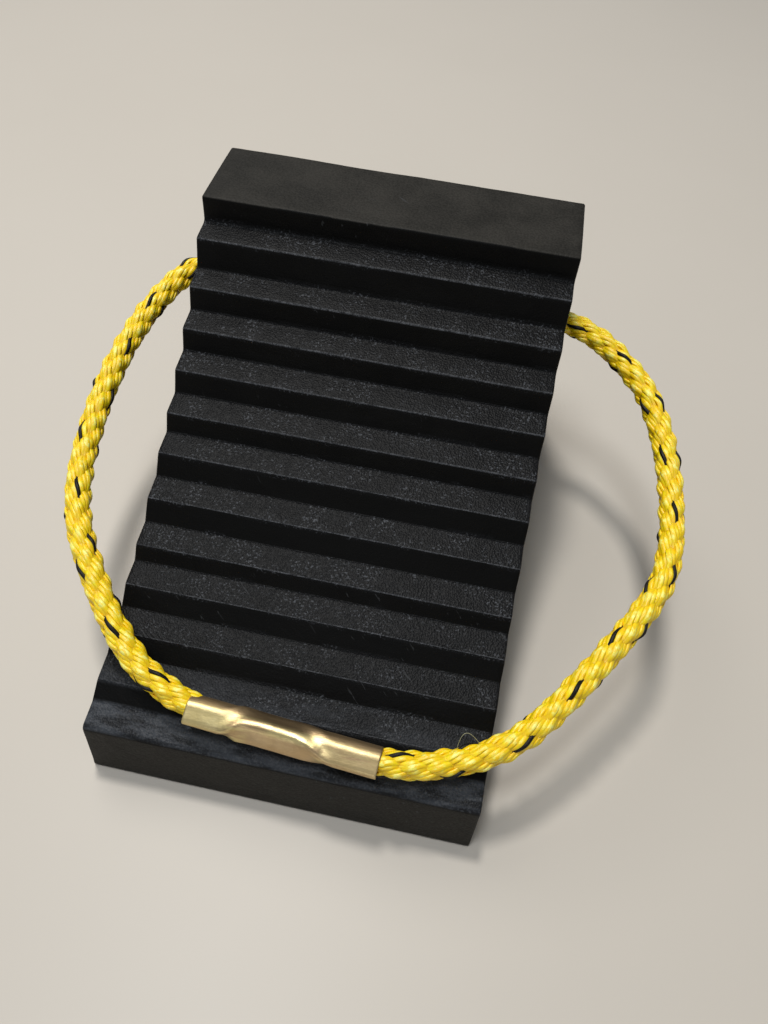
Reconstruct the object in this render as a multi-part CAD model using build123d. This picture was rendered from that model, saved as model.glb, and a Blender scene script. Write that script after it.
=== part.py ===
from build123d import *

import os
from math import acos, cos, radians, sin, tan

# Wedge wheel chock of moulded rubber, with a rope carrying loop.
#
# Frame: +Z is up, +X runs across the chock along its steps, -Y points to the toe
# that goes under the tyre and +Y to the back.  The origin is the middle of the
# base, on the ground.  All lengths are in millimetres.

# ---- rubber body ----
WIDTH = 170.0
HEIGHT = 155.0
BASE_LENGTH = 284.0
TOP_LENGTH = 44.5  # flat land on top, front to back
TOE_SETBACK = 5.5  # the toe face leans back by this much

# The stepped face is hollowed to the curve of a tyre standing against it.
TYRE_RADIUS = 460.0
TYRE_CENTRE_Y = -268.0
TYRE_CENTRE_Z = 472.0

# Distance along the tyre curve from each step's crest to the next one down.
STEP_PITCHES = (18.0, 21.5, 19.0, 19.0, 20.0, 18.5, 21.0, 21.5, 18.0, 21.0, 21.0, 21.0)
TREAD_DEPTH = 11.4
TREAD_RISE = 1.4  # each tread climbs a little from its crest to the riser behind

CREST_ROUND = 1.2
VALLEY_ROUND = 1.5
CORNER_ROUND = 3.0  # top land and toe
BASE_ROUND = 1.5
SIDE_ROUND = 1.0  # outline of both side faces

# ---- cross bore for the rope ----
BORE_DIAMETER = 16.0
BORE_Y = 99.5
BORE_Z = 97.5
BORE_MOUTH_ROUND = 3.0

# ---- crimped sleeve that joins the rope's ends ----
SLEEVE_LENGTH = 82.0
SLEEVE_WALL = 0.6
SLEEVE_CENTRE = (0.0, -125.8, 42.5)
SLEEVE_YAW = -3.9  # its right end lies a little nearer the toe
CRIMP_WIDE = 15.2  # outside, across the flattened middle
CRIMP_THIN = 10.6
CRIMP_TILT = 36.0  # the wide way across the crimp leans back by this much
CRIMP_HALF_LENGTH = 16.0
CRIMP_SHOULDER = 7.0  # length of the change from round to flattened

# ---- rope ----
ROPE_DIAMETER = 12.0
ROPE_END_GAP = 1.0  # between the two butted ends, inside the sleeve
RADIUS_SHARE = 0.45  # part of the shorter run that each arc takes up

# Points of the rope's loop: out of the sleeve's left end, round the left lobe,
# through the bore with a slight bow, round the right lobe and back to the sleeve.
ROPE_ROUTE = [
    (-33.0, -123.4, 42.5),
    (-52.0, -119.0, 44.5),
    (-72.0, -108.0, 49.0),
    (-95.0, -83.5, 58.0),
    (-118.0, -51.0, 65.0),
    (-126.0, -4.0, 75.0),
    (-125.0, 41.0, 84.5),
    (-115.0, 78.0, 92.5),
    (-100.0, 98.0, 96.5),
    (-52.0, 100.2, 97.0),
    (0.0, 100.8, 97.0),
    (52.0, 100.2, 97.0),
    (100.0, 98.0, 96.5),
    (131.0, 70.0, 90.5),
    (142.5, 45.0, 85.5),
    (149.0, 13.0, 78.5),
    (150.5, -20.0, 71.5),
    (145.0, -41.0, 67.0),
    (122.0, -76.0, 60.0),
    (102.0, -103.0, 51.0),
    (85.0, -117.0, 46.0),
    (54.0, -128.7, 43.0),
    (33.0, -128.0, 42.5),
]


def crest_points():
    """Crest of every step in (y, z), from the top land down to the toe."""
    angle = acos((TYRE_CENTRE_Z - HEIGHT) / TYRE_RADIUS)
    crests = []
    for pitch in (0.0,) + STEP_PITCHES:
        angle -= pitch / TYRE_RADIUS
        y = TYRE_CENTRE_Y + TYRE_RADIUS * sin(angle)
        z = TYRE_CENTRE_Z - TYRE_RADIUS * cos(angle)
        crests.append((y, z))
    return crests


def body_outline():
    """Corners of the side profile with the radius that each one is rounded to."""
    crests = crest_points()
    top_front = crests[0]
    toe_crest = crests[-1]
    toe_foot_y = toe_crest[0] - TOE_SETBACK
    corners = [
        (toe_foot_y + BASE_LENGTH, 0.0, BASE_ROUND),
        (top_front[0] + TOP_LENGTH, HEIGHT, CORNER_ROUND),
        (top_front[0], HEIGHT, CREST_ROUND),
    ]
    for y, z in crests[1:]:
        corners.append((y + TREAD_DEPTH, z + TREAD_RISE, VALLEY_ROUND))
        corners.append((y, z, CREST_ROUND))
    corners[-1] = (toe_crest[0], toe_crest[1], CORNER_ROUND)
    corners.append((toe_foot_y, 0.0, BASE_ROUND))
    return corners


def chock_body():
    """Stepped wedge with its cross bore."""
    corners = body_outline()
    outline = FilletPolyline(
        *[(0.0, y, z) for y, z, _ in corners],
        radius=[corner[2] for corner in corners],
        close=True,
    )
    body = extrude(Face(Wire(outline.edges())), amount=WIDTH / 2, dir=(1, 0, 0), both=True)
    for side in (-1, 0):
        face = body.faces().filter_by(Axis.X).sort_by(Axis.X)[side]
        body = fillet(face.outer_wire().edges(), SIDE_ROUND)
    bore = Cylinder(BORE_DIAMETER / 2, WIDTH + 2.0, rotation=(0, 90, 0))
    body = body - Pos(0, BORE_Y, BORE_Z) * bore
    rims = body.edges().filter_by(GeomType.CIRCLE)
    rims = rims.filter_by(lambda edge: abs(edge.radius - BORE_DIAMETER / 2) < 0.01)
    return fillet(rims, BORE_MOUTH_ROUND)


def oval(x, wide, thin):
    """Flat oval or round section across X, turned to the crimp's lean."""
    plane = Plane(origin=(x, 0, 0), x_dir=(0, 1, 0), z_dir=(1, 0, 0))
    return plane * (Rot(0, 0, CRIMP_TILT) * Ellipse(wide / 2, thin / 2))


def sleeve_solid(inset):
    """The sleeve as a full bar along X, its skin moved inwards by inset."""
    bore = ROPE_DIAMETER + 2 * (SLEEVE_WALL - inset)
    wide = CRIMP_WIDE - 2 * inset
    thin = CRIMP_THIN - 2 * inset
    half = SLEEVE_LENGTH / 2
    neck = CRIMP_HALF_LENGTH + CRIMP_SHOULDER
    stations = [
        oval(-half, bore, bore),
        oval(-neck, bore, bore),
        oval(-CRIMP_HALF_LENGTH, wide, thin),
        oval(CRIMP_HALF_LENGTH, wide, thin),
        oval(neck, bore, bore),
        oval(half, bore, bore),
    ]
    return loft(stations, ruled=True)


def sleeve_place():
    """Where the sleeve lies across the lowest steps."""
    return Pos(*SLEEVE_CENTRE) * Rot(0, 0, SLEEVE_YAW)


def crimp_sleeve():
    """Thin tube, round at both ends and flattened in the middle."""
    return sleeve_place() * (sleeve_solid(0.0) - sleeve_solid(SLEEVE_WALL))


def route_radii(points):
    """Radius of the arc at each inner point of the route."""
    radii = []
    for before, here, after in zip(points, points[1:], points[2:]):
        run_in = Vector(*here) - Vector(*before)
        run_out = Vector(*after) - Vector(*here)
        shorter = min(run_in.length, run_out.length)
        half_turn = radians(run_in.get_angle(run_out)) / 2
        radii.append(RADIUS_SHARE * shorter / tan(half_turn))
    return radii


def rope():
    """The loop, with both ends squeezed inside the sleeve."""
    radii = route_radii(ROPE_ROUTE)
    path = FilletPolyline(*ROPE_ROUTE, radius=radii)
    section = Plane(origin=path @ 0, z_dir=path % 0) * Circle(ROPE_DIAMETER / 2)
    tube = sweep(section, path=path)
    section_area = section.area
    print("rope arc radii:", [round(radius) for radius in radii])
    print("rope free length:", round(path.length, 1))
    print("tube volume / (section x length):", round(tube.volume / (section_area * path.length), 4))

    place = sleeve_place()
    inside = place * Cylinder(ROPE_DIAMETER, SLEEVE_LENGTH, rotation=(0, 90, 0))
    filling = sleeve_solid(SLEEVE_WALL) - Box(ROPE_END_GAP, 40, 40)
    return (tube - inside) + place * filling


def save(shape, name):
    """Write one node's STEP file."""
    solids = shape.solids()
    print(name, "solids:", len(solids), "volume:", round(shape.volume), "box:", shape.bounding_box())
    export_step(shape, os.path.join("parts", name + ".step"))


os.makedirs("parts", exist_ok=True)
save(chock_body(), "chock_body")
save(rope(), "rope")
save(crimp_sleeve(), "crimp_sleeve")
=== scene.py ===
import math

import bpy
import numpy as np
from mathutils import Matrix, Vector, noise
from mathutils.geometry import delaunay_2d_cdt


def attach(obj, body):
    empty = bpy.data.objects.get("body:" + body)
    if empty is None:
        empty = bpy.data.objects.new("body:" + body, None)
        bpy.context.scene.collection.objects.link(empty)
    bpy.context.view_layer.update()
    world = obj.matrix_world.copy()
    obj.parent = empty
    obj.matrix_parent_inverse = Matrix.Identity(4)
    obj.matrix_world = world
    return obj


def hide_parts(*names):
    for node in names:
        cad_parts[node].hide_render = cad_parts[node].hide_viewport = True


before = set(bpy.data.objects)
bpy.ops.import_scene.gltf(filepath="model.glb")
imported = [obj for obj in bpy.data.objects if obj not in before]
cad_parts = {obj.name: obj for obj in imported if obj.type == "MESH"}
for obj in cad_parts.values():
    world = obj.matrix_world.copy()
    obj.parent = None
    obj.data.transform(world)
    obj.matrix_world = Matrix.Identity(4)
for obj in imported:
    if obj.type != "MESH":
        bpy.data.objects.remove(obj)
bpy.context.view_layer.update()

# Wedge wheel chock of moulded rubber with a braided rope loop and a crimped sleeve.
# The frame is the CAD's: +Z up, +X across the steps, -Y to the toe.  The object's own
# measures are in millimetres, as in the CAD; cameras, lamps and shaders are in metres.

MM = 0.001
SCENE = bpy.context.scene
TURN = 2 * math.pi

# ---- camera: the photograph's place and angle ----
CAMERA_PLACE = Vector((0.04538, -0.23179, 0.35190))
CAMERA_RIGHT = Vector((0.97971, 0.19255, 0.05564))
CAMERA_DOWN = Vector((0.18769, -0.78396, -0.59176))
CAMERA_AHEAD = Vector((-0.07032, 0.59019, -0.80420))
LENS_MM = 27.06

# ---- lamps: name, direction from the chock, size, power in watts, colour ----
LAMPS = (
    ("key", (-0.15, 0.28, 1.0), 0.26, 18.0, (1.0, 0.97, 0.92)),
    ("over", (-0.148, -0.14, 0.98), 0.50, 14.0, (0.95, 0.98, 1.0)),
    ("side", (-0.41, 0.45, 0.79), 1.0, 9.0, (1.0, 0.98, 0.94)),
    ("front", (-0.10, -1.0, 0.28), 0.4, 2.1, (1.0, 0.98, 0.94)),
)
LAMP_DISTANCE = 2.0
LAMP_TARGET = Vector((0.0, 0.0, 0.05))
SKY_COLOUR = (0.90, 0.95, 1.0, 1.0)
SKY_STRENGTH = 0.25

# ---- rubber body, as in the CAD ----
WIDTH = 170.0
HEIGHT = 155.0
BASE_LENGTH = 284.0
TOP_LENGTH = 44.5
TOE_SETBACK = 5.5
TYRE_RADIUS = 460.0
TYRE_CENTRE_Y = -268.0
TYRE_CENTRE_Z = 472.0
STEP_PITCHES = (18.0, 21.5, 19.0, 19.0, 20.0, 18.5, 21.0, 21.5, 18.0, 21.0, 21.0, 21.0)
TREAD_DEPTH = 11.4
TREAD_RISE = 1.4
CREST_ROUND = 1.2
VALLEY_ROUND = 1.5
CORNER_ROUND = 3.0
BASE_ROUND = 1.5
SIDE_ROUND = 1.0
BORE_Y = 99.5
BORE_Z = 97.5
BORE_RADIUS = 8.0
BORE_MOUTH_ROUND = 3.0
BORE_MOUTH = BORE_RADIUS + BORE_MOUTH_ROUND

# ---- sleeve ----
SLEEVE_PLACE = (0.0, -125.8, 42.5)
SLEEVE_YAW = math.radians(-3.9)
SLEEVE_HALF = 41.0
SLEEVE_RADIUS = 6.6
SLEEVE_WALL = 0.6

# ---- rope: the CAD's route, and the braid ----
ROPE_ROUTE = [
    (-33.0, -123.4, 42.5),
    (-52.0, -119.0, 44.5),
    (-72.0, -108.0, 49.0),
    (-95.0, -83.5, 58.0),
    (-118.0, -51.0, 65.0),
    (-126.0, -4.0, 75.0),
    (-125.0, 41.0, 84.5),
    (-115.0, 78.0, 92.5),
    (-100.0, 98.0, 96.5),
    (-52.0, 100.2, 97.0),
    (0.0, 100.8, 97.0),
    (52.0, 100.2, 97.0),
    (100.0, 98.0, 96.5),
    (131.0, 70.0, 90.5),
    (142.5, 45.0, 85.5),
    (149.0, 13.0, 78.5),
    (150.5, -20.0, 71.5),
    (145.0, -41.0, 67.0),
    (122.0, -76.0, 60.0),
    (102.0, -103.0, 51.0),
    (85.0, -117.0, 46.0),
    (54.0, -128.7, 43.0),
    (33.0, -128.0, 42.5),
]
ROPE_RADIUS = 6.0
STRANDS = 18
YARNS = 3  # in each strand
STITCH = 29.6  # a strand comes to the surface once in this length
STITCHES_A_TURN = 9.27
ROPE_PHASE = -0.87 * TURN  # how far strand 0 is through its stitch at the rope's start
ROPE_TURN = math.radians(305.7)  # where strand 0 is round the rope at its start
NEXT_STRAND = 7 / 18 * TURN  # how far through its stitch the next strand is
TRACER_STRANDS = (0, 5, 12)
TRACER_PLACE = 1  # the black yarn is the middle one of its strand

# ---- the stray fibre beside the sleeve ----
FILAMENT_ROUTE = [
    (68.5, -121.5, 45.5),
    (70.2, -118.6, 47.6),
    (70.4, -116.0, 50.5),
    (71.6, -113.0, 52.6),
    (73.8, -112.4, 53.0),
    (76.4, -113.4, 51.8),
    (79.7, -114.8, 48.6),
    (80.6, -116.6, 46.0),
]
FILAMENT_RADIUS = 0.13
FILAMENT_SIDES = 6
FILAMENT_STEP = 0.5


# ---------------------------------------------------------------- camera and light
def make_camera():
    data = bpy.data.cameras.new("camera")
    data.lens = LENS_MM
    data.sensor_width = 36.0
    data.clip_start = 0.01
    data.clip_end = 50.0
    camera = bpy.data.objects.new("camera", data)
    SCENE.collection.objects.link(camera)
    axes = Matrix((CAMERA_RIGHT, -CAMERA_DOWN, -CAMERA_AHEAD)).transposed()
    camera.matrix_world = Matrix.Translation(CAMERA_PLACE) @ axes.to_4x4()
    SCENE.camera = camera


def area_light(name, towards, size, power, colour):
    """A soft round lamp, looking at the chock from that direction."""
    data = bpy.data.lights.new(name, "AREA")
    data.shape = "DISK"
    data.size = size
    data.energy = power
    data.color = colour
    lamp = bpy.data.objects.new(name, data)
    SCENE.collection.objects.link(lamp)
    direction = Vector(towards).normalized()
    lamp.location = LAMP_TARGET + direction * LAMP_DISTANCE
    lamp.rotation_euler = direction.to_track_quat("Z", "Y").to_euler()


def make_light():
    for lamp in LAMPS:
        area_light(*lamp)
    world = bpy.data.worlds.new("world")
    world.use_nodes = True
    sky = world.node_tree.nodes["Background"]
    sky.inputs["Color"].default_value = SKY_COLOUR
    sky.inputs["Strength"].default_value = SKY_STRENGTH
    SCENE.world = world
    SCENE.view_settings.view_transform = "Standard"


# ---------------------------------------------------------------- material helpers
class Shader:
    """A principled material with short calls for its nodes."""

    def __init__(self, name, **settings):
        self.material = bpy.data.materials.new(name)
        self.material.use_nodes = True
        self.tree = self.material.node_tree
        self.bsdf = self.tree.nodes["Principled BSDF"]
        for socket, value in settings.items():
            self.bsdf.inputs[socket].default_value = value

    def node(self, kind, **inputs):
        made = self.tree.nodes.new("ShaderNode" + kind)
        for socket, value in inputs.items():
            self.feed(made.inputs[socket], value)
        return made

    def feed(self, socket, value):
        """Set a socket, or link it to another node's output."""
        if isinstance(value, bpy.types.NodeSocket):
            self.tree.links.new(value, socket)
        else:
            socket.default_value = value

    def set(self, socket, value):
        self.feed(self.bsdf.inputs[socket], value)

    def place(self):
        """The object's own coordinates, in metres."""
        return self.node("TexCoord").outputs["Object"]

    def part(self, vector, axis):
        """One coordinate of a vector."""
        return self.node("SeparateXYZ", Vector=vector).outputs[axis]

    def attribute(self, name):
        made = self.node("Attribute")
        made.attribute_name = name
        return made.outputs["Fac"]

    def noise(self, where, scale, detail=3.0, rough=0.55, twist=0.0):
        made = self.node("TexNoise", Vector=where, Scale=scale, Detail=detail)
        made.inputs["Roughness"].default_value = rough
        made.inputs["Distortion"].default_value = twist
        return made.outputs["Fac"]

    def streaks(self, where, scale, detail=4.0, rough=0.6):
        """Noise drawn out where the scale along an axis is small."""
        return self.noise(self.stretch(where, scale), 1.0, detail, rough)

    def cells(self, where, scale):
        """Distance from the middle of the nearest cell."""
        return self.node("TexVoronoi", Vector=where, Scale=scale).outputs["Distance"]

    def stretch(self, where, scale):
        made = self.node("Mapping", Vector=where)
        made.inputs["Scale"].default_value = scale
        return made.outputs["Vector"]

    def turn(self, where, angle):
        """Coordinates turned about Z."""
        made = self.node("Mapping", Vector=where)
        made.inputs["Rotation"].default_value = (0.0, 0.0, angle)
        return made.outputs["Vector"]

    def shift(self, where, by):
        """Coordinates moved by another vector."""
        made = self.node("VectorMath")
        made.operation = "ADD"
        self.feed(made.inputs[0], where)
        self.feed(made.inputs[1], by)
        return made.outputs["Vector"]

    def ramp(self, value, low, high, to_low=0.0, to_high=1.0):
        """Map low..high to to_low..to_high, smoothly and clamped."""
        made = self.node("MapRange", Value=value)
        made.interpolation_type = "SMOOTHSTEP"
        made.inputs["From Min"].default_value = low
        made.inputs["From Max"].default_value = high
        made.inputs["To Min"].default_value = to_low
        made.inputs["To Max"].default_value = to_high
        return made.outputs["Result"]

    def math(self, operation, first, second):
        made = self.node("Math")
        made.operation = operation
        self.feed(made.inputs[0], first)
        self.feed(made.inputs[1], second)
        return made.outputs["Value"]

    def plus(self, first, second):
        return self.math("ADD", first, second)

    def times(self, first, second):
        return self.math("MULTIPLY", first, second)

    def larger(self, first, second):
        return self.math("MAXIMUM", first, second)

    def blend(self, share, first, second):
        """Blend two numbers."""
        made = self.node("Mix")
        self.feed(made.inputs[0], share)
        self.feed(made.inputs[2], first)
        self.feed(made.inputs[3], second)
        return made.outputs[0]

    def mix(self, share, first, second):
        """Blend two colours."""
        made = self.node("Mix")
        made.data_type = "RGBA"
        self.feed(made.inputs[0], share)
        self.feed(made.inputs[6], first)
        self.feed(made.inputs[7], second)
        return made.outputs[2]

    def bump(self, height, distance, below=None):
        made = self.node("Bump", Height=height)
        made.inputs["Distance"].default_value = distance
        if below is not None:
            self.feed(made.inputs["Normal"], below)
        return made.outputs["Normal"]


def grey(value):
    return (value, value, value, 1.0)


# ---------------------------------------------------------------- mesh helpers
def make_piece(name, points, faces, body, materials):
    """A smooth mesh object in the frame, riding on a CAD body."""
    mesh = bpy.data.meshes.new(name)
    mesh.from_pydata(points, [], faces)
    mesh.validate()
    mesh.update()
    mesh.polygons.foreach_set("use_smooth", [True] * len(mesh.polygons))
    piece = bpy.data.objects.new(name, mesh)
    SCENE.collection.objects.link(piece)
    for material in materials:
        mesh.materials.append(material)
    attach(piece, body)
    return piece


def set_attribute(mesh, name, values):
    """A number for each point of the mesh."""
    layer = mesh.attributes.new(name, "FLOAT", "POINT")
    layer.data.foreach_set("value", np.asarray(values, dtype=np.float32))


def ring_faces(rings, sides, start=0):
    """Quads between rings of points that are closed round."""
    ring = np.arange(rings - 1)[:, None] * sides
    side = np.arange(sides)[None, :]
    after = (side + 1) % sides
    corners = (ring + side, ring + after, ring + sides + after, ring + sides + side)
    return np.stack(corners, axis=-1).reshape(-1, 4) + start


def smoothstep(low, high, value):
    share = np.clip((value - low) / (high - low), 0.0, 1.0)
    return share * share * (3 - 2 * share)


def circle(sides):
    """Cosine and sine of each point of a circle."""
    angles = [TURN * index / sides for index in range(sides)]
    return [(math.cos(angle), math.sin(angle)) for angle in angles]


class Tubes:
    """Closed tubes gathered into one mesh: the sides of all, then the ends of all."""

    def __init__(self):
        self.points = []
        self.sides = []
        self.ends = []
        self.count = 0

    def add(self, rings):
        """One tube, from its points as an array of rings by sides by 3."""
        steps, sides = rings.shape[:2]
        last = self.count + (steps - 1) * sides
        self.points.append(rings.reshape(-1, 3))
        self.sides += ring_faces(steps, sides, self.count).tolist()
        self.ends.append(list(range(self.count, self.count + sides))[::-1])
        self.ends.append(list(range(last, last + sides)))
        self.count += steps * sides

    def faces(self):
        return self.sides + self.ends


# ---------------------------------------------------------------- lines
def smooth_line(places):
    """Points, in metres, of a smooth curve that follows these places."""
    curve = bpy.data.curves.new("route", "CURVE")
    curve.dimensions = "3D"
    spline = curve.splines.new("NURBS")
    spline.points.add(len(places) - 1)
    for point, place in zip(spline.points, places):
        point.co = (place[0] * MM, place[1] * MM, place[2] * MM, 1.0)
    spline.order_u = 3
    spline.use_endpoint_u = True
    spline.resolution_u = 40
    route = bpy.data.objects.new("route", curve)
    SCENE.collection.objects.link(route)
    line = bpy.data.meshes.new_from_object(route)
    points = np.array([vertex.co for vertex in line.vertices])
    bpy.data.objects.remove(route)
    bpy.data.meshes.remove(line)
    return points


class Line:
    """A centre line in even steps, in metres, with an upright frame at each."""

    def __init__(self, points, step):
        runs = np.linalg.norm(np.diff(points, axis=0), axis=1)
        along = np.concatenate(([0.0], np.cumsum(runs)))
        count = int(along[-1] / step) + 1
        self.along = np.linspace(0.0, along[-1], count)
        columns = [np.interp(self.along, along, points[:, axis]) for axis in range(3)]
        self.centre = np.stack(columns, axis=1)
        ahead = np.gradient(self.centre, self.along, axis=0)
        ahead = ahead / np.linalg.norm(ahead, axis=1)[:, None]
        up = np.array([0.0, 0.0, 1.0]) - ahead * ahead[:, 2:3]
        self.up = up / np.linalg.norm(up, axis=1)[:, None]
        self.left = np.cross(self.up, ahead)

    def around(self, angle):
        """Unit vectors outwards at an angle from the top towards the left."""
        cos = np.cos(angle)[:, None]
        sin = np.sin(angle)[:, None]
        return cos * self.up + sin * self.left

    def round_rings(self, sides, radius):
        """Rings of points of a round tube, its radius in mm."""
        rings = []
        for index in range(sides):
            angle = np.full(len(self.along), TURN * index / sides)
            rings.append(self.centre + self.around(angle) * radius * MM)
        return np.stack(rings, axis=1)


# ---------------------------------------------------------------- rope
YARN_SIDES = 8
YARN_STEP = 1.2
# Half width, half thickness, and how much sooner than a yellow yarn it dives.
YELLOW_YARN = (1.50, 0.80, 1.0)
TRACER_YARN = (1.0, 0.95, 1.10)
TOP_RADIUS = 5.42  # of a yarn's middle where its strand is on the surface
DIVE_DEPTH = 2.4
LEAST_RADIUS = 3.1  # of a yarn's middle where its strand is inside
CROWN = 0.45  # how much deeper a strand's two outer yarns lie
STITCH_SHARPNESS = 1.6
YARN_LAG = 0.22  # radians of its stitch between one yarn of a strand and the next
YARN_SPREAD = 1.50  # between one yarn of a strand and the next, on the surface
SPREAD_LOST = 0.4  # of that, where they dive
SPREAD_RADIUS = 3.2
STRAND_SWAY = 0.08
END_LENGTH = 14.0  # near each end the sleeve's grip draws the yarns together
END_SQUEEZE = 0.10
WANDER_LAG = 0.25  # what a strand's wander does to its stitch, depth and angle
WANDER_DEPTH = 0.025
WANDER_TURN = 0.03
WANDER_WAVES = 45.0  # a metre
WANDER_SIZE = 1.6
WANDER_APART = 7.31  # between one strand's place in the noise and the next one's
CORE_SIDES = 12
CORE_RADIUS = 3.0
CORE_TONE = 0.5
TONE_SEED = 5


def end_grip(line):
    """Share of the rope's thickness that is left, less near its two ends."""
    free = smoothstep(0.0, END_LENGTH * MM, line.along)
    free = free * smoothstep(0.0, END_LENGTH * MM, line.along[-1] - line.along)
    return (1.0 - END_SQUEEZE) + END_SQUEEZE * free


def yarn_rings(line, strand, yarn, wander, kind):
    """Rings of points of one yarn of the braid."""
    half_width, half_thickness, dive = kind
    stitches = line.along / (STITCH * MM)
    side = yarn - (YARNS - 1) / 2
    phase = TURN * stitches + strand * NEXT_STRAND + ROPE_PHASE
    phase = phase + YARN_LAG * side + WANDER_LAG * wander
    down = 1.0 - np.exp(-STITCH_SHARPNESS * (1.0 - np.cos(phase)))
    down = np.minimum(1.0, dive * down)

    grip = end_grip(line)
    radius = np.maximum(TOP_RADIUS - DIVE_DEPTH * down, LEAST_RADIUS) - CROWN * side * side
    radius = radius * MM * grip
    radius = radius * (1.0 + WANDER_DEPTH * wander)
    spread = (YARN_SPREAD - SPREAD_LOST * down) * MM
    angle = TURN / STITCHES_A_TURN * stitches + strand * TURN / STRANDS + ROPE_TURN
    angle = angle + STRAND_SWAY * np.sin(phase)
    angle = angle + side * spread / np.maximum(radius, SPREAD_RADIUS * MM)
    angle = angle + WANDER_TURN * wander

    out = line.around(angle)
    over = line.around(angle + math.pi / 2)
    middle = line.centre + out * radius[:, None]
    rings = []
    for cos, sin in circle(YARN_SIDES):
        thick = cos * half_thickness * MM
        wide = sin * half_width * MM
        rings.append(middle + (out * thick + over * wide) * grip[:, None])
    return np.stack(rings, axis=1)


def slow_wander(line, strand):
    """A slow wander, about -1 to 1, along one strand."""
    values = []
    for along in line.along:
        values.append(noise.noise((along * WANDER_WAVES, strand * WANDER_APART, 2.7)))
    return np.array(values) * WANDER_SIZE


def braid(line):
    """The rope's tubes, the tone of each point, and which of the tubes are black."""
    tubes = Tubes()
    tone = []
    black_tubes = []
    chance = np.random.default_rng(TONE_SEED)
    for strand in range(STRANDS):
        wander = slow_wander(line, strand)
        for yarn in range(YARNS):
            black = strand in TRACER_STRANDS and yarn == TRACER_PLACE
            if black:
                black_tubes.append(len(tone))
            kind = TRACER_YARN if black else YELLOW_YARN
            tubes.add(yarn_rings(line, strand, yarn, wander, kind))
            tone.append(np.full(len(line.along) * YARN_SIDES, chance.random()))
    tubes.add(line.round_rings(CORE_SIDES, CORE_RADIUS))
    tone.append(np.full(len(line.along) * CORE_SIDES, CORE_TONE))
    return tubes, np.concatenate(tone), black_tubes


def point_lift(line, points):
    """How far each point of the braid is from the centre line: 1 at the rope's skin."""
    steps = np.arange(len(line.along))
    nearest = np.tile(np.repeat(steps, YARN_SIDES), STRANDS * YARNS)
    nearest = np.concatenate([nearest, np.repeat(steps, CORE_SIDES)])
    return np.linalg.norm(points - line.centre[nearest], axis=1) / (ROPE_RADIUS * MM)


def rope_uv(mesh, line):
    """Round each yarn in u, and along it, in metres, in v."""
    layer = mesh.uv_layers.new(name="along")
    low = np.arange(YARN_SIDES) / YARN_SIDES
    high = low + 1.0 / YARN_SIDES
    before = line.along[:-1]
    after = line.along[1:]
    uv = np.zeros((len(before), YARN_SIDES, 4, 2))
    uv[..., 0] = np.stack([low, high, high, low], axis=-1)[None, :, :]
    uv[..., 1] = np.stack([before, before, after, after], axis=-1)[:, None, :]
    yarns = np.tile(uv.reshape(-1), STRANDS * YARNS)
    everything = np.zeros(len(mesh.loops) * 2)
    everything[: yarns.size] = yarns
    layer.data.foreach_set("uv", everything)


def build_rope(line):
    tubes, tone, black_tubes = braid(line)
    points = np.concatenate(tubes.points)
    materials = [rope_material("rope_yellow", False), rope_material("rope_black", True)]
    rope = make_piece("rope_braid", points.tolist(), tubes.faces(), "rope_loop", materials)
    mesh = rope.data
    marks = np.zeros(len(mesh.polygons), dtype=np.int32)
    one_yarn = (len(line.along) - 1) * YARN_SIDES
    for index in black_tubes:
        marks[index * one_yarn : (index + 1) * one_yarn] = 1
    mesh.polygons.foreach_set("material_index", marks)
    set_attribute(mesh, "tone", tone)
    set_attribute(mesh, "lift", point_lift(line, points))
    rope_uv(mesh, line)
    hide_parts("rope")
    return rope


YELLOW_BRIGHT = ((1.0, 0.66, 0.0015, 1.0), (1.0, 0.77, 0.002, 1.0))
YELLOW_DEEP = (0.97, 0.60, 0.001, 1.0)
# Pale yellow of the painted highlight on the yarns' crests.
YELLOW_PAINTED_HIGHLIGHT = (1.0, 0.90, 0.20, 1.0)
# Orange of the painted shade in the grooves between the yarns.
YELLOW_PAINTED_GROOVE_SHADE = (0.86, 0.44, 0.001, 1.0)
TRACER_BLACK = (grey(0.001), (0.007, 0.0055, 0.0045, 1.0))
FIBRE_STRETCH = (5.0, 110.0, 1.0)
PATCH_STRETCH = (2.0, 190.0, 1.0)
FIBRE_BUMP = 0.00022
TONE_SHIFT = 37.0  # sets each yarn's fibres apart from the next yarn's


def yellow_colour(shader, tone, patch):
    """Brighter yarns and duller ones, with a pale painted highlight where they stand out,
    and deep orange painted shade in the grooves.
    """
    lift = shader.attribute("lift")
    bright = shader.mix(tone, *YELLOW_BRIGHT)
    deep = shader.mix(shader.ramp(patch, 0.62, 0.38), bright, YELLOW_DEEP)
    # painted highlight: pale patches where the yarns stand out most
    painted_glint = shader.times(shader.ramp(lift, 0.90, 1.0), shader.ramp(patch, 0.45, 0.60))
    pale = shader.mix(painted_glint, deep, YELLOW_PAINTED_HIGHLIGHT)
    # painted shade: orange wherever the yarns lie deep
    return shader.mix(shader.ramp(lift, 0.62, 0.90), YELLOW_PAINTED_GROOVE_SHADE, pale)


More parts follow.
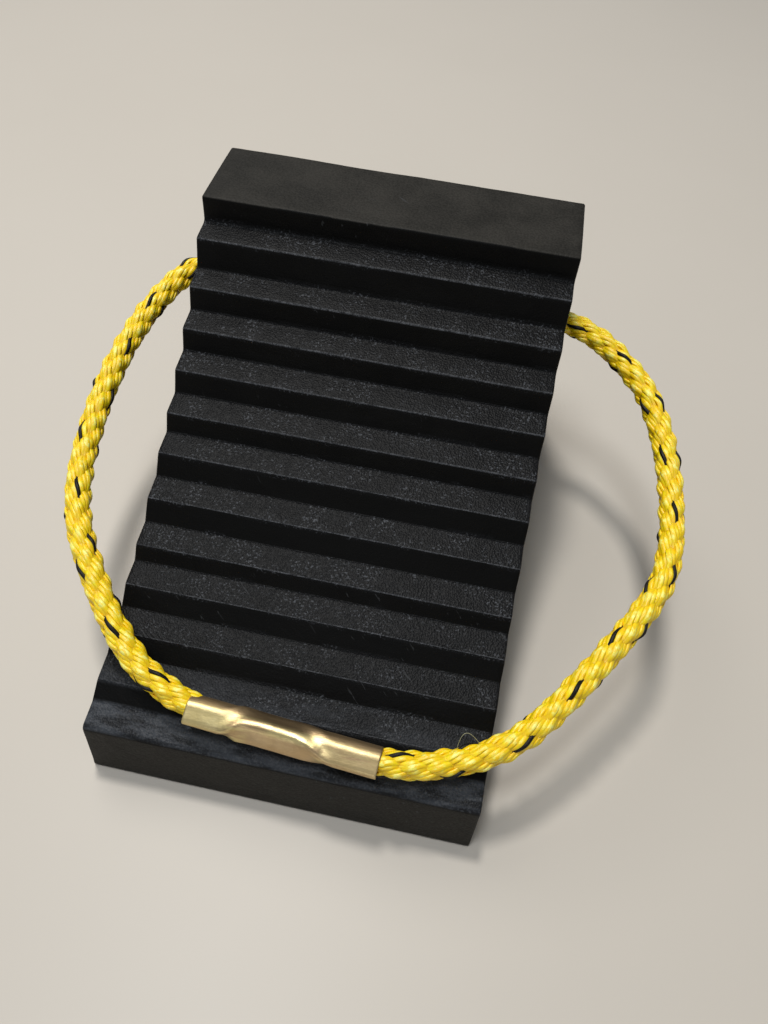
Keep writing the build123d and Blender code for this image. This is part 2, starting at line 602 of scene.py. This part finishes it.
def rope_material(name, black):
    """Plastic yarn with fine fibres along it."""
    shader = Shader(name)
    uv_map = shader.node("UVMap")
    uv_map.uv_map = "along"
    uv = uv_map.outputs["UV"]
    tone = shader.attribute("tone")
    apart = shader.node("CombineXYZ", Z=shader.times(tone, TONE_SHIFT)).outputs["Vector"]
    fibre_place = shader.shift(shader.stretch(uv, FIBRE_STRETCH), apart)
    fibre = shader.noise(fibre_place, 3.0, 4.0, 0.6)
    if black:
        colour = shader.mix(fibre, *TRACER_BLACK)
        shader.set("Roughness", shader.ramp(fibre, 0.3, 0.7, 0.36, 0.55))
        shader.set("Specular IOR Level", 0.25)
    else:
        patch_place = shader.shift(shader.stretch(uv, PATCH_STRETCH), apart)
        colour = yellow_colour(shader, tone, shader.noise(patch_place, 1.6, 3.0, 0.6))
        shader.set("Subsurface Weight", 0.25)
        shader.set("Subsurface Radius", (1.0, 0.7, 0.1))
        shader.set("Subsurface Scale", 0.0015)
        shader.set("Roughness", shader.ramp(fibre, 0.3, 0.7, 0.28, 0.44))
        shader.set("Specular IOR Level", 0.6)
    shader.set("Base Color", colour)
    shader.set("Normal", shader.bump(fibre, FIBRE_BUMP))
    return shader.material


def build_filament():
    """A loop of fine fibre that has come loose beside the sleeve."""
    line = Line(smooth_line(FILAMENT_ROUTE), FILAMENT_STEP * MM)
    tubes = Tubes()
    tubes.add(line.round_rings(FILAMENT_SIDES, FILAMENT_RADIUS))
    points = np.concatenate(tubes.points).tolist()
    shader = Shader("filament_clear", Roughness=0.35)
    cloudy = shader.noise(shader.place(), 600.0, 3.0, 0.6)
    colour = shader.mix(cloudy, (0.20, 0.19, 0.09, 1.0), (0.36, 0.36, 0.22, 1.0))
    shader.set("Base Color", colour)
    materials = [shader.material]
    return make_piece("stray_filament", points, tubes.faces(), "rope_loop", materials)


# ---------------------------------------------------------------- sleeve
SLEEVE_SIDES = 120
SLEEVE_RINGS = 165
SLEEVE_LIP = 0.22
FACING = math.radians(18.8)  # the crimp's outline is turned from +Z to -Y by this much

# Where the crimp's ridge lies round the sleeve, in degrees, at places along it.
RIDGE = (
    (-41.0, 52.0),
    (-26.0, 52.0),
    (-24.0, 46.0),
    (-21.5, 30.0),
    (-18.5, 6.0),
    (-15.5, -7.0),
    (-9.8, -13.0),
    (0.0, -13.0),
    (6.0, -8.0),
    (10.7, 5.0),
    (14.0, 20.0),
    (17.5, 38.0),
    (20.5, 48.0),
    (23.0, 52.0),
    (41.0, 52.0),
)
RIDGE_AT, RIDGE_TURN = zip(*RIDGE)

# Small dents: place along, degrees round, depth and half width.
SLEEVE_DENTS = (
    (18.5, 16.0, 0.30, 2.6),
    (-18.0, 4.0, 0.25, 2.2),
    (-2.0, -52.0, 0.18, 5.0),
)
CRIMP_LEFT = (-27.0, -13.0)  # the crimp grows over these lengths
CRIMP_RIGHT = (21.0, 9.0)
FRONT_TOP = (-0.7, 0.1)  # and from end to end between these angles, in radians
FRONT_FOOT = (2.9, 2.0)
CRIMP_HALF = 6.08  # across the crimp's flats
CRIMP_POWER = 3.6  # how square its section is
CRIMP_POWER_MORE = 1.4  # squarer by this towards both ends
SQUARER = (12.0, 22.0)
LEFT_END = (-34.0, -41.0)
LEFT_END_SQUEEZE = 0.05


def crimp_share(x, angle):
    """How far the crimp has changed the round tube there, from 0 to 1."""
    share = smoothstep(*CRIMP_LEFT, x) * smoothstep(*CRIMP_RIGHT, x)
    front = smoothstep(*FRONT_TOP, angle) * smoothstep(*FRONT_FOOT, angle)
    return share + (1.0 - share) * front


def sleeve_radius(x, angle):
    """Distance from the sleeve's middle line to its skin."""
    crimp = crimp_share(x, angle)
    ridge = math.radians(np.interp(x, RIDGE_AT, RIDGE_TURN))
    turned = angle - ridge + math.pi / 4
    power = CRIMP_POWER + CRIMP_POWER_MORE * smoothstep(*SQUARER, abs(x))
    cos = abs(math.cos(turned)) ** power
    sin = abs(math.sin(turned)) ** power
    square = CRIMP_HALF / (cos + sin) ** (1 / power)
    left_end = smoothstep(*LEFT_END, x) * abs(math.sin(angle))
    squeeze = 1.0 - LEFT_END_SQUEEZE * left_end
    radius = SLEEVE_RADIUS * squeeze * (1 - crimp) + square * crimp
    for at, side, depth, wide in SLEEVE_DENTS:
        apart = math.hypot((x - at), (angle - math.radians(side)) * SLEEVE_RADIUS)
        radius -= depth * math.exp(-((apart / wide) ** 2))
    return radius


def sleeve_section():
    """The tube's wall: place along and depth below the skin, outside and back inside."""
    stations = np.linspace(-SLEEVE_HALF, SLEEVE_HALF, SLEEVE_RINGS)
    rim = SLEEVE_WALL - SLEEVE_LIP
    shoulder = SLEEVE_LIP * 0.35
    near_end = SLEEVE_HALF - 0.02
    section = [(-SLEEVE_HALF, rim), (-near_end, shoulder)]
    section += [(x, 0.0) for x in stations[1:-1]]
    section += [(near_end, shoulder), (SLEEVE_HALF, rim)]
    section += [(x, SLEEVE_WALL) for x in stations[::-1][1:-1]]
    return section


def build_sleeve():
    section = sleeve_section()
    angles = [TURN * index / SLEEVE_SIDES - math.pi for index in range(SLEEVE_SIDES)]
    turn = Matrix.Translation(Vector(SLEEVE_PLACE)) @ Matrix.Rotation(SLEEVE_YAW, 4, "Z")
    points = []
    for x, depth in section:
        for angle in angles:
            radius = sleeve_radius(x, angle) - depth
            towards = angle + FACING
            place = Vector((x, -radius * math.sin(towards), radius * math.cos(towards)))
            points.append(tuple((turn @ place) * MM))
    faces = ring_faces(len(section), SLEEVE_SIDES).tolist()
    last = (len(section) - 1) * SLEEVE_SIDES
    for index in range(SLEEVE_SIDES):
        after = (index + 1) % SLEEVE_SIDES
        faces.append([last + index, last + after, after, index])
    materials = [sleeve_material()]
    sleeve = make_piece("sleeve_crimped", points, faces, "rope_loop", materials)
    set_attribute(sleeve.data, "around", np.tile(angles, len(section)))
    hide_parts("crimp_sleeve")
    return sleeve


GOLD = ((0.62, 0.49, 0.205, 1.0), (0.80, 0.68, 0.37, 1.0))
# Brown of the stain streaks, and of the painted dark reflection on the sleeve.
STAIN_AND_REFLECTION_BROWN = (0.42, 0.25, 0.16, 1.0)
STAIN_AND_REFLECTION_MOST = 0.62


def sleeve_stain_and_dark_reflection(shader, where):
    """Brown stain streaks, and painted dark reflection: a browner right end and brown bands
    along the top and along the middle's underside.
    """
    across = shader.part(where, "X")
    middle = shader.ramp(shader.math("ABSOLUTE", across, 0.0), 0.019, 0.012)
    around = shader.attribute("around")
    stain = shader.ramp(shader.streaks(where, (28.0, 330.0, 330.0)), 0.47, 0.62)
    # painted dark reflection: the right end browner
    painted_right_reflection = shader.ramp(across, 0.012, 0.024, 0.0, 0.55)
    # painted dark reflection: a brown band along the top
    top = shader.ramp(around, -0.35, -0.75)
    # painted dark reflection: a brown band along the middle's underside
    painted_under_reflection = shader.times(shader.ramp(around, 0.05, 0.40, 0.0, 0.95), middle)
    stain_and_reflection = shader.larger(shader.larger(stain, painted_right_reflection), top)
    return shader.larger(stain_and_reflection, painted_under_reflection)


def sleeve_material():
    """Pale brass, brushed along its length."""
    shader = Shader("sleeve_brass", Metallic=1.0)
    where = shader.place()
    scratches = shader.streaks(where, (60.0, 1400.0, 1400.0), 5.0, 0.62)
    cloudy = shader.noise(where, 130.0, 4.0, 0.6)
    # brown stain streaks and painted dark reflection, mixed over the brass
    stain_and_reflection = shader.times(sleeve_stain_and_dark_reflection(shader, where), STAIN_AND_REFLECTION_MOST)
    shader.set("Base Color", shader.mix(stain_and_reflection, shader.mix(cloudy, *GOLD), STAIN_AND_REFLECTION_BROWN))
    from_middle = shader.math("ABSOLUTE", shader.part(where, "X"), 0.0)
    worn_end = shader.ramp(from_middle, 0.010, 0.022, 0.0, 0.08)
    rough = shader.ramp(scratches, 0.25, 0.75, 0.33, 0.46)
    shader.set("Roughness", shader.plus(rough, worn_end))
    fine = shader.bump(scratches, 0.00004)
    shader.set("Normal", shader.bump(cloudy, 0.00025, fine))
    return shader.material


# ---------------------------------------------------------------- rubber body
OUTLINE_STEP = 1.6  # between points on the outline's straight runs
ARC_STEP = 0.45
STATION_STEP = 1.9  # between rings across the body
SIDE_STEPS = 4
MOUTH_STEPS = 6
BORE_SIDES = 64
BORE_RINGS = 42
SIDE_GRID = 3.2  # between points of the flat sides, in rows a little closer
GRID_ROW = 0.87
GRID_CLEAR = 0.6
GRID_FOOT = 2.0

# How worn each kind of edge is, from 0 to 1.
TOP_BACK_WEAR = 0.3
TOP_FRONT_WEAR = 0.4
CREST_WEAR = 1.0
TOE_WEAR = 0.5
SIDE_EDGE_WEAR = 0.9
MOUTH_WEAR = 0.3
WEAR_REACH = 1.3
ARC_END_WEAR = 0.70  # of the wear at the middle of a rounded edge

# The moulding's unevenness: lengths of its waves, and their depths.
SLOW_WAVE = 38.0
SLOW_DEPTH = 0.30
SHORT_WAVE = 9.0
SHORT_DEPTH = 0.09
CHIP_LENGTH = 6.0
RUBBED_DEPTH = 0.05
CHIP_DEPTH = 0.22
CHIP_MIX = 0.3  # share of the short waves in the chips
FLAT_BASE = 0.5  # nothing moves below this height
FULL_HEIGHT = 6.0


def crest_points():
    """Crest of every step in (y, z), from the top land down to the toe."""
    angle = math.acos((TYRE_CENTRE_Z - HEIGHT) / TYRE_RADIUS)
    crests = []
    for pitch in (0.0,) + STEP_PITCHES:
        angle -= pitch / TYRE_RADIUS
        y = TYRE_CENTRE_Y + TYRE_RADIUS * math.sin(angle)
        z = TYRE_CENTRE_Z - TYRE_RADIUS * math.cos(angle)
        crests.append((y, z))
    return crests


def body_corners(crests):
    """Corners of the side outline: y, z, radius and how worn the edge gets."""
    top_front = crests[0]
    toe_crest = crests[-1]
    toe_foot_y = toe_crest[0] - TOE_SETBACK
    corners = [
        (toe_foot_y + BASE_LENGTH, 0.0, BASE_ROUND, 0.0),
        (top_front[0] + TOP_LENGTH, HEIGHT, CORNER_ROUND, TOP_BACK_WEAR),
        (top_front[0], HEIGHT, CREST_ROUND, TOP_FRONT_WEAR),
    ]
    for y, z in crests[1:]:
        corners.append((y + TREAD_DEPTH, z + TREAD_RISE, VALLEY_ROUND, 0.0))
        corners.append((y, z, CREST_ROUND, CREST_WEAR))
    corners[-1] = (toe_crest[0], toe_crest[1], CORNER_ROUND, TOE_WEAR)
    corners.append((toe_foot_y, 0.0, BASE_ROUND, 0.0))
    return corners


def corner_arc(before, corner, after):
    """Points of one rounded corner with normals, and the wear of its edge."""
    here = Vector(corner[:2])
    run_in = (here - Vector(before[:2])).normalized()
    run_out = (Vector(after[:2]) - here).normalized()
    turned = math.atan2(run_in.x * run_out.y - run_in.y * run_out.x, run_in.dot(run_out))
    radius = corner[2]
    start = here - run_in * radius * math.tan(abs(turned) / 2)
    side = 1.0 if turned > 0 else -1.0
    centre = start + Vector((-run_in.y, run_in.x)) * radius * side
    pieces = max(4, int(abs(turned) * radius / ARC_STEP) + 1)
    arc = []
    for part in range(pieces + 1):
        spoke = Matrix.Rotation(turned * part / pieces, 2) @ (start - centre)
        middle = math.sin(math.pi * part / pieces)
        worn = corner[3] * (ARC_END_WEAR + (1.0 - ARC_END_WEAR) * middle)
        arc.append((centre + spoke, spoke.normalized() * side, worn))
    return arc


def run_points(end, start):
    """Points of the straight run from one arc's end to the next arc's start."""
    length = (start[0] - end[0]).length
    parts = max(1, round(length / OUTLINE_STEP))
    points = []
    for part in range(1, parts):
        share = part / parts
        near_end = math.exp(-length * share / WEAR_REACH) * end[2]
        near_start = math.exp(-length * (1 - share) / WEAR_REACH) * start[2]
        points.append((end[0].lerp(start[0], share), end[1], max(near_end, near_start)))
    return points


def body_outline(crests):
    """Points round the side outline: place, outward normal and wear."""
    corners = body_corners(crests)
    count = len(corners)
    arcs = []
    for index, corner in enumerate(corners):
        arcs.append(corner_arc(corners[index - 1], corner, corners[(index + 1) % count]))
    outline = []
    for index, arc in enumerate(arcs):
        outline += arc + run_points(arc[-1], arcs[(index + 1) % count][0])
    return outline


def moulded(place, normal, worn):
    """Shift a point of the body as a worn rubber moulding would have it."""
    x, y, z = place
    slow = noise.noise((x / SLOW_WAVE, y / SLOW_WAVE + 9.0, z / SLOW_WAVE))
    short = noise.noise((x / SHORT_WAVE, y / SHORT_WAVE, z / SHORT_WAVE + 4.0))
    chip = noise.noise((x / CHIP_LENGTH, y / SHORT_WAVE + 2.0, z / SHORT_WAVE))
    shift = SLOW_DEPTH * slow + SHORT_DEPTH * short
    shift -= worn * (RUBBED_DEPTH + CHIP_DEPTH * max(0.0, chip + CHIP_MIX * short))
    shift *= 0.0 if z < FLAT_BASE else min(1.0, z / FULL_HEIGHT)
    return [place[axis] + normal[axis] * shift for axis in range(3)]


class Skin:
    """The rubber's points, and how worn it is at each."""

    def __init__(self):
        self.points = []
        self.worn = []

    def add(self, place, normal, cut, worn):
        """A point, cut back by wear as far as cut says."""
        self.points.append(moulded(place, normal, cut))
        self.worn.append(worn)


def quarter_round(radius, steps):
    """A rounded side edge: how far in from the side, how far short, how far it faces out."""
    for part in range(steps):
        angle = math.pi / 2 * part / steps
        short = radius * (1 - math.sin(angle))
        yield radius * (1 - math.cos(angle)), short, math.cos(angle)


def both_sides(right, middle):
    """Rings from the left side to the right, the left ones mirrored from the right."""
    left = [(-x, size, -facing) for x, size, facing in right]
    return left + middle + right[::-1]


def outline_rings():
    """Rings along X: place, inset of the outline, and how far it faces the side."""
    half = WIDTH / 2
    right = []
    for inwards, inset, facing in quarter_round(SIDE_ROUND, SIDE_STEPS):
        right.append((half - inwards, inset, facing))
    edge = half - SIDE_ROUND
    count = round(2 * edge / STATION_STEP)
    middle = [(-edge + 2 * edge * part / count, 0.0, 0.0) for part in range(count + 1)]
    return both_sides(right, middle)


def bore_rings():
    """Rings of the bore along X: place, radius, and how far it faces the side."""
    half = WIDTH / 2
    right = []
    for inwards, wider, facing in quarter_round(BORE_MOUTH_ROUND, MOUTH_STEPS):
        right.append((half - inwards, BORE_RADIUS + wider, facing))
    deep = half - BORE_MOUTH_ROUND
    middle = [(x, BORE_RADIUS, 0.0) for x in np.linspace(-deep, deep, BORE_RINGS)]
    return both_sides(right, middle)


def inside_outline(place, loop):
    """Whether a point is inside a closed loop of points."""
    y, z = place
    crossed = False
    for (ay, az), (by, bz) in zip(loop, loop[1:] + loop[:1]):
        if (az > z) != (bz > z) and y < (by - ay) * (z - az) / (bz - az) + ay:
            crossed = not crossed
    return crossed


def from_bore(y, z):
    return math.hypot(y - BORE_Y, z - BORE_Z)


def side_grid(loop, hole):
    """Points spread over the flat side, clear of its outline and the bore."""
    border = np.array(loop + hole)
    low = border.min(axis=0)
    high = border.max(axis=0)
    grid = []
    for row, z in enumerate(np.arange(low[1] + GRID_FOOT, high[1], SIDE_GRID * GRID_ROW)):
        for y in np.arange(low[0] + SIDE_GRID * 0.5 * (row % 2), high[0], SIDE_GRID):
            near = np.hypot(border[:, 0] - y, border[:, 1] - z).min()
            clear = near > SIDE_GRID * GRID_CLEAR and from_bore(y, z) > BORE_MOUTH
            if clear and inside_outline((y, z), loop):
                grid.append((y, z))
    return grid


def side_triangles(loop, hole, grid):
    """Triangles of the flat side, counting the points of loop, hole and grid in turn."""
    places = [Vector(place) for place in loop + hole + grid]
    edges = []
    for start, count in ((0, len(loop)), (len(loop), len(hole))):
        edges += [(start + i, start + (i + 1) % count) for i in range(count)]
    made = delaunay_2d_cdt(places, edges, [], 1, 1e-5)
    back = [origins[0] for origins in made[3]]
    triangles = []
    for face in made[2]:
        middle = sum((made[0][corner] for corner in face), Vector((0.0, 0.0))) / 3
        if from_bore(middle.x, middle.y) > BORE_MOUTH - 0.05:
            triangles.append([back[corner] for corner in face])
    return triangles


def add_outline(skin, outline, rings):
    """The skin all round the outline, from side to side."""
    for x, inset, facing in rings:
        level = math.sqrt(1 - facing * facing)
        for place, normal, worn in outline:
            at = place - normal * inset
            out = (facing, normal.x * level, normal.y * level)
            worn = max(worn, SIDE_EDGE_WEAR * abs(facing) * level)
            skin.add((x, at.x, at.y), out, worn, worn)


def add_bore(skin, rings):
    """The skin of the bore, from mouth to mouth."""
    for x, radius, facing in rings:
        level = math.sqrt(max(0.0, 1 - facing * facing))
        for cos, sin in circle(BORE_SIDES):
            place = (x, BORE_Y + radius * cos, BORE_Z + radius * sin)
            out = (facing, -cos * level, -sin * level)
            skin.add(place, out, 0.0, MOUTH_WEAR * abs(facing) * level)


def add_side(skin, facing, grid, triangles, border):
    """One flat side: its grid's points, and its faces between them and the border's."""
    numbers = border + list(range(len(skin.points), len(skin.points) + len(grid)))
    for y, z in grid:
        skin.add((facing * WIDTH / 2, y, z), (facing, 0.0, 0.0), 0.0, 0.0)
    faces = []
    for triangle in triangles:
        corners = [numbers[corner] for corner in triangle]
        faces.append(corners if facing > 0 else corners[::-1])
    return faces


def build_body():
    crests = crest_points()
    outline = body_outline(crests)
    count = len(outline)
    skin = Skin()
    rings = outline_rings()
    add_outline(skin, outline, rings)
    faces = ring_faces(len(rings), count).tolist()

    on_outline = len(skin.points)
    bores = bore_rings()
    add_bore(skin, bores)
    faces += ring_faces(len(bores), BORE_SIDES, on_outline)[:, ::-1].tolist()

    loop = [tuple(place - normal * SIDE_ROUND) for place, normal, _ in outline]
    hole = []
    for cos, sin in circle(BORE_SIDES):
        hole.append((BORE_Y + BORE_MOUTH * cos, BORE_Z + BORE_MOUTH * sin))
    grid = side_grid(loop, hole)
    triangles = side_triangles(loop, hole, grid)
    outline_points = list(range(on_outline))
    bore_points = list(range(on_outline, len(skin.points)))
    left = outline_points[:count] + bore_points[:BORE_SIDES]
    right = outline_points[-count:] + bore_points[-BORE_SIDES:]
    faces += add_side(skin, -1, grid, triangles, left)
    faces += add_side(skin, 1, grid, triangles, right)

    points = np.array(skin.points)
    places = (points * MM).tolist()
    body = make_piece("chock_rubber", places, faces, "chock", [rubber_material()])
    set_attribute(body.data, "worn", skin.worn)
    steps, tread = body_zones(points, crests, on_outline)
    set_attribute(body.data, "steps", steps)
    set_attribute(body.data, "tread", tread)
    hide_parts("chock_body")


STEPS_ABOVE = 18.0  # the stepped face starts over the toe face's middle
TOE_SLACK = 0.2
CREST_SLACK = 0.3
TREAD_EDGE = (1.6, 0.7)  # how far off its plane a tread fades out


def body_zones(points, crests, on_outline):
    """Whether each point is on the stepped face, and how far it is on a tread."""
    y = points[:, 1]
    z = points[:, 2]
    steps = (np.arange(len(points)) < on_outline) & (z > STEPS_ABOVE)
    steps = steps & (y > crests[-1][0] - TOE_SLACK) & (y < crests[0][0] + CREST_SLACK)
    tread = np.zeros(len(points))
    for crest_y, crest_z in crests[1:]:
        above = z - (crest_z + (y - crest_y) * TREAD_RISE / TREAD_DEPTH)
        here = (y > crest_y - CREST_SLACK) & (y < crest_y + TREAD_DEPTH + CREST_SLACK)
        share = smoothstep(*TREAD_EDGE, abs(above))
        tread = np.where(steps & here, np.maximum(tread, share), tread)
    return steps.astype(float), tread


MATTE = ((0.0095, 0.0088, 0.0070, 1.0), (0.0285, 0.0262, 0.0222, 1.0))
# Near black rubber of the risers, made darker than the treads as painted shade on faces
# turned away from the lamps.
RISER_WITH_PAINTED_SHADE = (grey(0.0007), grey(0.0020))
TREAD = ((0.0022, 0.0023, 0.0027, 1.0), (0.0052, 0.0054, 0.0062, 1.0))
TREAD_DOTS = (0.060, 0.064, 0.072, 1.0)
# Pale blue-grey of the painted sheen on the toe's tread.
TOE_PAINTED_SHEEN = (0.043, 0.048, 0.057, 1.0)
SCRATCHED = (0.050, 0.052, 0.056, 1.0)
RUBBED = (0.078, 0.082, 0.091, 1.0)
TOE_TREAD = (0.0405, 0.0335)  # heights between which the painted sheen on the toe's tread comes in
SCRATCH_SLANT = 0.7


def tread_colour(shader, where, speck):
    """Near black with pale dots, and on the toe a painted sheen, pale in streaks, with
    painted glints in it.
    """
    cloud = shader.noise(where, 11.0, 4.0, 0.55)
    patch = shader.noise(where, 90.0, 3.0, 0.6)
    dots = shader.times(shader.ramp(speck, 0.56, 0.68), shader.ramp(patch, 0.42, 0.62))
    toe = shader.ramp(shader.part(where, "Z"), *TOE_TREAD)
    sheen_streaks = shader.streaks(where, (50.0, 190.0, 190.0), 4.0, 0.65)
    # painted sheen: the toe's tread made paler in streaks, where a lamp gleams on it
    painted_sheen = shader.times(toe, shader.ramp(sheen_streaks, 0.36, 0.62, 0.15, 1.0))
    # painted glints: pale specks within the toe's painted sheen
    toe_painted_glints = shader.times(painted_sheen, shader.ramp(speck, 0.48, 0.62, 0.0, 0.8))
    colour = shader.mix(painted_sheen, shader.mix(cloud, *TREAD), TOE_PAINTED_SHEEN)
    return shader.mix(shader.larger(dots, toe_painted_glints), colour, TREAD_DOTS)


def matte_colour(shader, blotch, speck):
    """The brown-black of the top, back and sides."""
    cloudy = shader.times(shader.ramp(blotch, 0.34, 0.66), 0.50)
    specks = shader.times(shader.ramp(speck, 0.35, 0.65), 0.50)
    return shader.mix(shader.plus(cloudy, specks), *MATTE)


def add_marks(shader, where, grain, colour):
    """Slanting scratches, and edges rubbed pale."""
    drawn = shader.stretch(shader.turn(where, SCRATCH_SLANT), (60.0, 900.0, 300.0))
    marked = shader.ramp(shader.noise(where, 20.0, 2.0), 0.50, 0.62)
    scratch = shader.times(shader.ramp(shader.noise(drawn, 1.0, 2.0), 0.66, 0.74), marked)
    colour = shader.mix(shader.times(scratch, 0.6), colour, SCRATCHED)
    scuff = shader.ramp(shader.noise(where, 320.0, 4.0, 0.65), 0.36, 0.60, 0.35, 1.0)
    scuff = shader.times(scuff, shader.ramp(grain, 0.38, 0.58, 0.25, 1.0))
    rub = shader.times(shader.ramp(shader.attribute("worn"), 0.74, 0.97), scuff)
    return shader.mix(shader.times(rub, 0.9), colour, RUBBED)


def rubber_material():
    """Moulded black rubber: matte outside, near black risers darkened further by painted
    shade, and pebbled treads with a painted sheen on the toe's tread.
    """
    shader = Shader("rubber_black")
    where = shader.place()
    tread = shader.attribute("tread")
    blotch = shader.noise(where, 42.0, 5.0, 0.6, 0.4)
    grain = shader.noise(where, 1700.0, 3.0, 0.6)
    speck = shader.noise(where, 1000.0, 2.0, 0.5)

    # risers: near black rubber darkened further by painted shade
    shaded_riser = shader.mix(shader.streaks(where, (25.0, 260.0, 260.0)), *RISER_WITH_PAINTED_SHADE)
    stepped = shader.mix(tread, shaded_riser, tread_colour(shader, where, speck))
    matte = matte_colour(shader, blotch, speck)
    colour = shader.mix(shader.attribute("steps"), matte, stepped)
    shader.set("Base Color", add_marks(shader, where, grain, colour))

    rough = shader.ramp(blotch, 0.3, 0.7, 0.50, 0.62)
    rough_tread = shader.ramp(grain, 0.3, 0.7, 0.40, 0.54)
    shader.set("Roughness", shader.blend(tread, rough, rough_tread))
    shader.set("Specular IOR Level", 0.12)

    pebbled = shader.ramp(tread, 0.0, 1.0, 0.25, 1.0)
    pebble = shader.times(shader.cells(where, 1150.0), pebbled)
    rough_skin = shader.bump(pebble, 0.00022, shader.bump(grain, 0.00006))
    shader.set("Normal", shader.bump(blotch, 0.0008, rough_skin))
    return shader.material


# ---------------------------------------------------------------- floor
FLOOR_HALF = 4.0
FLOOR_DROP = 0.0002  # keeps it just clear of the chock's base
FLOOR_COLOURS = ((0.53, 0.487, 0.430, 1.0), (0.565, 0.522, 0.464, 1.0))


def build_floor():
    mesh = bpy.data.meshes.new("floor")
    signs = ((-1, -1), (1, -1), (1, 1), (-1, 1))
    corners = [(x * FLOOR_HALF, y * FLOOR_HALF, 0.0) for x, y in signs]
    mesh.from_pydata(corners, [], [(0, 1, 2, 3)])
    floor = bpy.data.objects.new("floor", mesh)
    floor.location.z = -FLOOR_DROP
    SCENE.collection.objects.link(floor)
    shader = Shader("floor_tile")
    cloud = shader.noise(shader.place(), 3.5, 4.0, 0.55)
    shader.set("Base Color", shader.mix(cloud, *FLOOR_COLOURS))
    shader.set("Roughness", 0.42)
    shader.set("Specular IOR Level", 0.35)
    mesh.materials.append(shader.material)


make_camera()
make_light()
rope_line = Line(smooth_line(ROPE_ROUTE), YARN_STEP * MM)
rope = build_rope(rope_line)
filament = build_filament()
sleeve = build_sleeve()
build_body()
build_floor()
